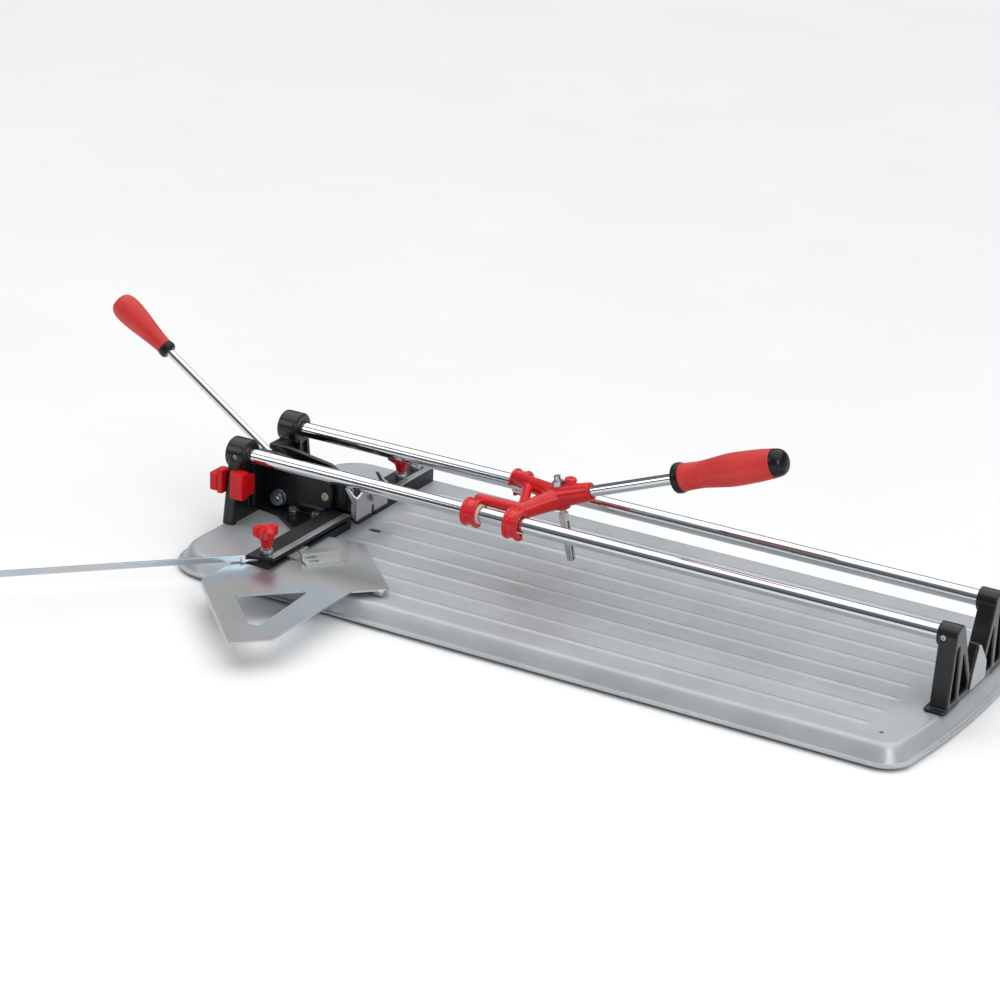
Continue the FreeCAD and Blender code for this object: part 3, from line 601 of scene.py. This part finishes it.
STUD_X = -16.0
FRONT_STUD_Y = -165.0
REAR_STUD_Y = 125.0
SPARE_STUD_Y = 160.0
FENCE_TOP = 42.0
M8_RADIUS = 4.0
M8_FLATS = 13.0
M8_HOLE = 4.02
for name, y, low, high in (("front", FRONT_STUD_Y, 28.2, 61.5), ("rear", REAR_STUD_Y, 30.2, 61.5),
                           ("spare", SPARE_STUD_Y, 30.2, 54.0)):
    stud = thread(name + "_m8_stud", (STUD_X, y, 0), UP, low, high, M8_RADIUS)
    placed(stud, zinc, "frame", "zinc", name + "_stud")
    nut = hexagon(name + "_m8_nut", (STUD_X, y, FENCE_TOP), UP, M8_FLATS, 6.5, M8_HOLE, turn=0.4)
    placed(nut, zinc, "frame", "zinc", name + "_nut")


def knob_radius(s, angle):
    """Round neck flaring into three rounded wings, domed over the top."""
    wing = max(math.cos(1.5 * (angle - math.radians(20))) ** 2 - 0.35, 0.0) / 0.65
    flare = ease((s - 8.0) / 5.5)
    dome = 1 - 0.5 * ease((s - 21.0) / 5.0) ** 1.5
    core = 6.3 + 2.1 * ease(s / 11.0)
    return (core + flare * (0.6 + 8.0 * wing ** 1.1)) * dome * (0.94 + 0.06 * ease(s / 0.8))


KNOB_LOW = 51.0
ROUND_CREASE = 60.0
stations = ([0.0, 0.4, 1.0, 2.0, 4.0, 6.0] + [6.5 + 0.5 * i for i in range(33)]
            + [23.2, 23.9, 24.5, 25.1, 25.6, 26.0])
for side, y in (("front", FRONT_STUD_Y), ("rear", REAR_STUD_Y)):
    knob = lathe(side + "_winged_knob", (STUD_X, y, KNOB_LOW), UP, stations, knob_radius, 96)
    placed(knob, red_plastic, side + "_clamp", "moulded_red", side + "_knob", crease=ROUND_CREASE)

# ---------------------------------------------------------------- breaker housing
# Two cheeks on a foot plate, cast in one and bolted to the bed, carry the pin
# the breaker swings on. Same satin black paint as the end castings.

placed(cast("breaker_cheeks", "breaker_housing", 0.7, 4), black_paint,
       "frame", "black_casting", "breaker_housing", crease=NO_CREASE)


def washer(foot, axis, hole, edge, thick, broken=0.2):
    """A plain ring with both outer edges broken."""
    rim = [(0, hole), (0, edge - broken), (broken, edge),
           (thick - broken, edge), (thick, edge - broken), (thick, hole)]
    return turned("washer", foot, axis, rim)


FOOT_PLATE_TOP = 34.0
M6_SHANK = [(0, 2.6), (0.6, 3.0), (16.2, 3.0)]
heads = []
for x in (-75.0, -43.0):
    for y in (-22.0, 22.0):
        heads.append(washer((x, y, FOOT_PLATE_TOP), UP, 3.2, 6.4, 1.2))
        heads.append(hexagon("head", (x, y, FOOT_PLATE_TOP + 1.2), UP, 10.0, 3.3, turn=0.3 * x))
        heads.append(turned("shank", (x, y, 19.0), UP, M6_SHANK, sides=24))
placed(joined("foot_bolts", heads), zinc, "frame", "zinc", "housing_bolts")

REARWARD = (0, 1, 0)
FORWARD = (0, -1, 0)
STOP_X = -99
STOP_Z = 43
bolt = [
    turned("shank", (STOP_X, -24, STOP_Z), REARWARD, [(0, 3.4), (0.7, 4.0), (39.0, 4.0)], sides=32),
    hexagon("head", (STOP_X, 15, STOP_Z), REARWARD, 17.0, 5.5),
    washer((STOP_X, -15, STOP_Z), FORWARD, 4.1, 10.0, 1.6),
    hexagon("nut", (STOP_X, -16.6, STOP_Z), FORWARD, 17.0, 6.0, M8_HOLE, turn=0.2),
]
placed(joined("stop_screw", bolt), zinc, "frame", "zinc", "stop_bolt")

# Yellow-passivated pin steel, turned on its face, dull straw to grey.
pin_steel, tree, shader, place = material("yellow_passivated_steel", {
    "Metallic": 0.75, "Roughness": 0.45})
rings = node(tree, "TexNoise", {"Scale": 260.0, "Detail": 4.0}, Vector=place)
tint = node(tree, "ValToRGB", {"stops": [(0.3, "B3AD93"), (0.7, "CFC9AF")]}, Fac=rings.outputs["Fac"])
tree.links.new(tint.outputs["Color"], shader.inputs["Base Color"])
outline = [(0, 3.6), (0, 4.2), (0.8, 5.0), (32.2, 5.0), (33.0, 4.2), (33.0, 3.6)]
pin = turned("breaker_pin", (-35, -16.5, 58), REARWARD, outline)
placed(pin, pin_steel, "frame", "brass_tone", "pivot_pin")

# ---------------------------------------------------------------- breaker arm and shoes
# A short cast arm swings between the cheeks. Its nose carries a bent zinc-plated
# yoke that rocks on one bolt, with a rubber pad under each half.

placed(cast("swing_arm", "breaker_arm", 0.6, 3), black_paint,
       "breaker", "black_casting", "breaker_arm", crease=NO_CREASE)
YOKE_BOLT_Z = 68
bolt = [
    turned("shank", (-11.5, 0, YOKE_BOLT_Z), ALONG, [(0, 3.4), (0.6, 4.0), (34.2, 4.0)], sides=32),
    washer((-1.6, 0, YOKE_BOLT_Z), ALONG, 4.0, 7.0, 4.4, broken=0.4),
    hexagon("head", (22.6, 0, YOKE_BOLT_Z), ALONG, M8_FLATS, 4.4, turn=0.5),
]
placed(joined("rocker_bolt", bolt), zinc, "breaker", "zinc", "yoke_bolt")
placed(eased("bent_yoke", "shoe_yoke", 0.5, 3), zinc, "shoe", "zinc", "shoe_yoke")
placed(eased("yoke_pads", "shoe_pads", 0.5), rubber, "shoe", "black_rubber", "shoe_pads")

# ---------------------------------------------------------------- breaker lever
# A chromed rod screwed into the arm, with a black plastic collar and a smooth
# red grip that swells towards its end.

LEVER_ANGLE = 33.6
LEAN = math.radians(180 - LEVER_ANGLE)
LEVER_FOOT = (-131.0, 0.0, 93.3)
LEVER_AXIS = (math.cos(LEAN), 0.0, math.sin(LEAN))
outline = [(-83.5, 4.2), (-82.7, 5.0), (50.0, 5.0), (234.5, 5.0), (235.0, 4.5)]
rod = turned("lever_bar", LEVER_FOOT, LEVER_AXIS, outline, sides=64)
placed(rod, chrome, "breaker", "chrome", "lever_rod")

# Black polypropylene: a matt moulded plastic with a soft grey sheen.
black_plastic, tree, shader, place = material("matt_black_polypropylene", {
    "Roughness": 0.3, "Specular IOR Level": 0.3})
cloud = node(tree, "TexNoise", {"Scale": 55.0, "Detail": 3.0}, Vector=place)
tint = node(tree, "ValToRGB", {"stops": [(0.3, "0F1013"), (0.75, "17181C")]}, Fac=cloud.outputs["Fac"])
tree.links.new(tint.outputs["Color"], shader.inputs["Base Color"])
grit = node(tree, "TexNoise", {"Scale": 1400.0, "Detail": 1.0}, Vector=place)
skin = node(tree, "Bump", {"Strength": 0.15, "Distance": 0.0002}, Height=grit.outputs["Fac"])
tree.links.new(skin.outputs["Normal"], shader.inputs["Normal"])

# Red soft-touch elastomer: matt, a little translucent, finely grained.
soft_grip, tree, shader, place = material("red_soft_elastomer", {
    "Roughness": 0.5, "Sheen Weight": 0.05, "Sheen Roughness": 0.5,
    "Subsurface Weight": 0.05, "Subsurface Radius": RED_GLOW, "Subsurface Scale": 1.0})
flow = node(tree, "TexNoise", {"Scale": 30.0, "Detail": 4.0}, Vector=place)
tint = node(tree, "ValToRGB", {"stops": [(0.3, "CA2824"), (0.7, "D8332C")]}, Fac=flow.outputs["Fac"])
tree.links.new(tint.outputs["Color"], shader.inputs["Base Color"])
grain = node(tree, "TexNoise", {"Scale": 1600.0, "Detail": 1.0}, Vector=place)
skin = node(tree, "Bump", {"Strength": 0.2, "Distance": 0.0003}, Height=grain.outputs["Fac"])
tree.links.new(skin.outputs["Normal"], shader.inputs["Normal"])


def curve(pairs):
    """Radius along a line through (s, r) pairs, as one smooth curve."""
    def radius(s, angle=0.0):
        last = len(pairs) - 1
        i = max(k for k in range(last) if s >= pairs[k][0] - 1e-6)
        (s0, r0), (s1, r1) = pairs[i], pairs[i + 1]
        before = pairs[i - 1] if i else (2 * s0 - s1, 2 * r0 - r1)
        after = pairs[i + 2] if i + 2 <= last else (2 * s1 - s0, 2 * r1 - r0)
        m0 = (r1 - before[1]) / (s1 - before[0]) * (s1 - s0)
        m1 = (after[1] - r0) / (after[0] - s0) * (s1 - s0)
        t = (s - s0) / (s1 - s0)
        return ((2 * t ** 3 - 3 * t * t + 1) * r0 + (t ** 3 - 2 * t * t + t) * m0
                + (3 * t * t - 2 * t ** 3) * r1 + (t ** 3 - t * t) * m1)
    return radius


def even(low, high, step):
    """Evenly spaced stations from low to high."""
    count = max(1, round((high - low) / step))
    return [low + (high - low) * i / count for i in range(count + 1)]


shape = curve([(166, 8.4), (168, 10.2), (172, 10.6), (176, 10.0)])
stations = [166.0, 166.2] + even(166.6, 175.6, 0.6) + [176.0]
collar = lathe("lever_ring", LEVER_FOOT, LEVER_AXIS, stations,
               lambda s, a: 5.02 if s < 166.1 else shape(s), 64)
placed(collar, black_plastic, "breaker", "black_plastic", "lever_collar")
shape = curve([(176, 9.6), (190, 10.9), (206, 13.0), (222, 15.2), (236, 16.3),
               (246, 15.9), (252, 13.8), (255.5, 10.6), (257, 6.0)])
stations = even(176, 246, 1.6) + even(246.5, 257, 0.5)
grip = lathe("lever_handle", LEVER_FOOT, LEVER_AXIS, stations, shape, 96)
placed(grip, soft_grip, "breaker", "grip_red", "lever_grip", crease=NO_CREASE)

# ---------------------------------------------------------------- carriage
# A wishbone casting in aluminium rides on the rails with three eyes, two at the
# front and one behind, and holds the handle and the scoring stem. Gloss red.

# Gloss red enamel over a casting: wet-looking coat over a slightly uneven metal skin.
red_paint, tree, shader, place = material("gloss_red_enamel", {
    "Roughness": 0.42, "Specular IOR Level": 0.3, "Coat Weight": 0.45, "Coat Roughness": 0.05})
cloud = node(tree, "TexNoise", {"Scale": 45.0, "Detail": 3.0}, Vector=place)
tint = node(tree, "ValToRGB", {"stops": [(0.3, "CE0810"), (0.7, "DE1018")]}, Fac=cloud.outputs["Fac"])
tree.links.new(tint.outputs["Color"], shader.inputs["Base Color"])
pebble = node(tree, "TexNoise", {"Scale": 160.0, "Detail": 3.0}, Vector=place)
skin = node(tree, "Bump", {"Strength": 0.16, "Distance": 0.0009}, Height=pebble.outputs["Fac"])
tree.links.new(skin.outputs["Normal"], shader.inputs["Normal"])
placed(cast("wishbone", "carriage_body", 0.6, 7), red_paint,
       "carriage", "carriage_red", "carriage_body", crease=NO_CREASE)

# Natural nylon: milky, waxy, slightly translucent.
nylon, tree, shader, place = material("natural_nylon", {
    "Roughness": 0.4,
    "Subsurface Weight": 0.2, "Subsurface Radius": (0.002, 0.002, 0.002), "Subsurface Scale": 1.0})
cloud = node(tree, "TexNoise", {"Scale": 80.0, "Detail": 3.0}, Vector=place)
tint = node(tree, "ValToRGB", {"stops": [(0.3, "D2CFC4"), (0.7, "E2DFD6")]}, Fac=cloud.outputs["Fac"])
tree.links.new(tint.outputs["Color"], shader.inputs["Base Color"])
placed(eased("rail_glides", "carriage_glides", 0.3), nylon, "glides", "nylon", "carriage_glides")

# ---------------------------------------------------------------- scoring stem and wheel
# A zinc-plated stem with a forked foot slides in the carriage and is locked by a
# nut. The tungsten carbide wheel turns on a short axle in the fork.

STEM = math.radians(13.9)
STEM_AXIS = (-math.sin(STEM), 0.0, math.cos(STEM))
WHEEL = (288.5, 0.0, 55.0)
placed(eased("forked_stem", "scoring_stem", 0.3), zinc, "stem", "zinc", "scoring_stem")
NUT_RISE = 83.0             # height of the nut's seat above the wheel's centre
reach = NUT_RISE / math.cos(STEM)
foot = tuple(w + reach * a for w, a in zip(WHEEL, STEM_AXIS))
nut = hexagon("stem_m8_nut", foot, STEM_AXIS, M8_FLATS, 6.0, hole=4.1, turn=0.3)
placed(nut, zinc, "carriage", "zinc", "stem_nut")

# Ground tungsten carbide: dark grey, nearly polished metal.
carbide, tree, shader, place = material("ground_tungsten_carbide", {"Metallic": 1.0, "Roughness": 0.25})
grind = node(tree, "TexNoise", {"Scale": 900.0, "Detail": 2.0}, Vector=place)
tint = node(tree, "ValToRGB", {"stops": [(0.3, "55575B"), (0.7, "6B6D72")]}, Fac=grind.outputs["Fac"])
tree.links.new(tint.outputs["Color"], shader.inputs["Base Color"])
rim = [(0, 1.3), (0, 3.3), (0.72, 4.0), (0.88, 4.0), (1.6, 3.3), (1.6, 1.3)]
wheel = turned("carbide_wheel", (WHEEL[0], -0.8, WHEEL[2]), REARWARD, rim, 64)
placed(wheel, carbide, "wheel", "carbide", "scoring_wheel")
outline = [(0, 1.0), (0.25, 1.25), (8.95, 1.25), (9.2, 1.0)]
pin = turned("wheel_pin", (WHEEL[0], -4.6, WHEEL[2]), REARWARD, outline, 32)
placed(pin, zinc, "stem", "zinc", "wheel_axle")

# ---------------------------------------------------------------- handle
# A chromed rod is screwed into the carriage and carries a red soft grip between a
# black collar and a black domed cap. Fine rings help the fingers near the collar.

RISE = math.radians(21.0)
HANDLE_FOOT = (310.0, 0.0, 141.0)
HANDLE_AXIS = (math.cos(RISE), 0.0, math.sin(RISE))
outline = [(-23.5, 5.6), (-22.6, 6.5), (60, 6.5), (227.2, 6.5), (228, 5.7)]
rod = turned("handle_bar", HANDLE_FOOT, HANDLE_AXIS, outline, sides=64)
placed(rod, chrome, "carriage", "chrome", "handle_rod")
COLLAR_CREASE = 55.0
shape = curve([(111.5, 14.8), (112.4, 16.6), (114.0, 17.3),
               (118.0, 17.3), (119.8, 16.9), (121.0, 16.2)])
collar = lathe("handle_ring", HANDLE_FOOT, HANDLE_AXIS, [111.5] + even(111.5, 121.0, 0.5),
               lambda s, a: shape(s) - (0.5 if 114.2 < s < 115.2 else 0.0), 96)
placed(collar, black_plastic, "carriage", "black_plastic", "handle_collar", crease=COLLAR_CREASE)
RINGS_LOW = 126.0
RINGS_HIGH = 147.6
RING_PITCH = 3.6
RING_DEPTH = 0.75
form = curve([(121.0, 16.0), (125, 15.7), (134, 15.4), (146, 15.3), (162, 16.8),
              (181, 18.6), (200, 18.5), (219, 17.7), (236, 16.3)])


def ribbed(s, angle):
    """The grip's outline with six fine rings rolled into it near the collar."""
    if not RINGS_LOW < s < RINGS_HIGH:
        return form(s)
    crest = math.sin(math.pi * (s - RINGS_LOW) / RING_PITCH) ** 2
    fade = ease((s - RINGS_LOW) / 2) * ease((RINGS_HIGH - s) / 2)
    return form(s) - RING_DEPTH * (1 - crest) * fade


stations = even(121.0, RINGS_LOW, 0.8) + even(126.3, RINGS_HIGH, 0.3) + even(148.5, 236, 1.4)
grip = lathe("handle_grip_soft", HANDLE_FOOT, HANDLE_AXIS, stations, ribbed, 112)
placed(grip, soft_grip, "carriage", "grip_red", "handle_grip", crease=NO_CREASE)
shape = curve([(236, 15.9), (240, 15.7), (244.5, 14.6), (248, 12.2), (250.2, 8.6), (251, 4.0)])
cap = lathe("handle_end", HANDLE_FOOT, HANDLE_AXIS, [236.0] + even(236.4, 251, 0.5), shape, 96)
placed(cap, black_plastic, "carriage", "black_plastic", "handle_cap", crease=ROUND_CREASE)

# ---------------------------------------------------------------- square
# A triangular square is blanked from 2 mm zinc-plated steel, folded down along its
# outer edge, and rides along the fence on a bent bracket with a slotted hole.

placed(eased("square_sheet", "square_plate", 0.35), zinc, "square", "zinc", "square_plate")
placed(eased("square_clip", "square_bracket", 0.35), zinc, "square", "zinc", "square_bracket")
placed(eased("square_rest", "square_foot", 0.4), zinc, "square", "zinc", "square_foot")

# ---------------------------------------------------------------- side arm
# A flat zinc-plated bar on edge supports large tiles. Its eye turns on the front
# stud inside the fence.

placed(eased("support_arm", "side_arm", 0.35), zinc, "measuring_arm", "zinc", "side_arm")

# ---------------------------------------------------------------- studio
# Pale floor under one round bright ceiling panel in a dim room, two weak soft
# boxes in front, and a camera level with a standing person's view of a bench.

# Pale painted floor: matt off-white with the faintest unevenness.
floor_paint, tree, shader, place = material("pale_matt_floor", {
    "Roughness": 0.75, "Specular IOR Level": 0.2})
cloud = node(tree, "TexNoise", {"Scale": 3.0, "Detail": 3.0}, Vector=place)
tint = node(tree, "ValToRGB", {"stops": [(0.2, "F1F2F2"), (0.8, "F6F6F6")]}, Fac=cloud.outputs["Fac"])
tree.links.new(tint.outputs["Color"], shader.inputs["Base Color"])
FLOOR = 9000
corners = [(-FLOOR, -FLOOR, 0), (FLOOR, -FLOOR, 0), (FLOOR, FLOOR, 0), (-FLOOR, FLOOR, 0)]
floor = mesh_piece("studio_floor", corners, [(0, 1, 2, 3)])
floor.data.materials.append(floor_paint)

world = bpy.data.worlds.new("soft_studio")
bpy.context.scene.world = world
world.use_nodes = True
tree = world.node_tree
tree.nodes.clear()
way = node(tree, "TexCoord").outputs["Generated"]
# one round bright ceiling panel, leaning to the rear, in a dim grey room
PANEL_WAY = (0.0, 0.2866, 1.0)
lean = node(tree, "VectorMath", {"operation": "DOT_PRODUCT", 1: PANEL_WAY})
tree.links.new(way, lean.inputs[0])
panel = node(tree, "MapRange", {"From Min": 0.66, "From Max": 0.74}, Value=lean.outputs["Value"])
upward = node(tree, "SeparateXYZ", Vector=way).outputs["Z"]
rise = node(tree, "MapRange", {"From Min": -0.1, "From Max": 0.7}, Value=upward)
walls = [(0.0, "5A5E62"), (0.15, "3A3E42"), (0.6, "6B7075"), (1.0, "8A8E92")]
room = node(tree, "ValToRGB", {"stops": walls}, Fac=rise.outputs["Result"])
dim = node(tree, "Background", {"Strength": 0.9}, Color=room.outputs["Color"])
bright = node(tree, "Background", {"Color": linear("FFFFFF"), "Strength": 1.65})
mixed = node(tree, "MixShader", Fac=panel.outputs["Result"])
tree.links.new(dim.outputs["Background"], mixed.inputs[1])
tree.links.new(bright.outputs["Background"], mixed.inputs[2])
node(tree, "OutputWorld", Surface=mixed.outputs["Shader"])


def soft_box(name, at, towards, wide, tall, watts):
    """A rectangular lamp that looks at a point."""
    lamp = bpy.data.lights.new(name, "AREA")
    lamp.shape = "RECTANGLE"
    lamp.size = wide
    lamp.size_y = tall
    lamp.energy = watts
    holder = bpy.data.objects.new(name, lamp)
    holder.location = at
    holder.rotation_euler = (Vector(towards) - Vector(at)).to_track_quat("-Z", "Y").to_euler()
    bpy.context.collection.objects.link(holder)


MIDDLE = (0.32, 0.0, 0.06)
soft_box("right_front", (2.6, -1.7, 1.7), MIDDLE, 1.3, 1.3, 30)
soft_box("left_front", (-1.9, -1.9, 1.6), MIDDLE, 1.2, 1.2, 12)

SENSOR = 36.0
LENS_RATIO = 3.1163
view = bpy.data.cameras.new("bench_view")
view.sensor_width = SENSOR
view.lens = LENS_RATIO * SENSOR
view.clip_end = 60.0
camera = bpy.data.objects.new("bench_view", view)
right = Vector((0.86421609, 0.50159635, 0.03913626))
down = Vector((0.21905044, -0.30509786, -0.92678595))
ahead = Vector((-0.45293207, 0.80951615, -0.37354538))
turn = Matrix((right, -down, -ahead)).transposed()
offset = Vector((-0.16963760, 0.03001104, 3.67912873))
lens_at = -(right * offset.x + down * offset.y + ahead * offset.z) + Vector((0, 0, BASE_TOP * MM))
camera.matrix_world = Matrix.Translation(lens_at) @ turn.to_4x4()
bpy.context.collection.objects.link(camera)
bpy.context.scene.camera = camera
bpy.context.scene.view_settings.view_transform = "Standard"
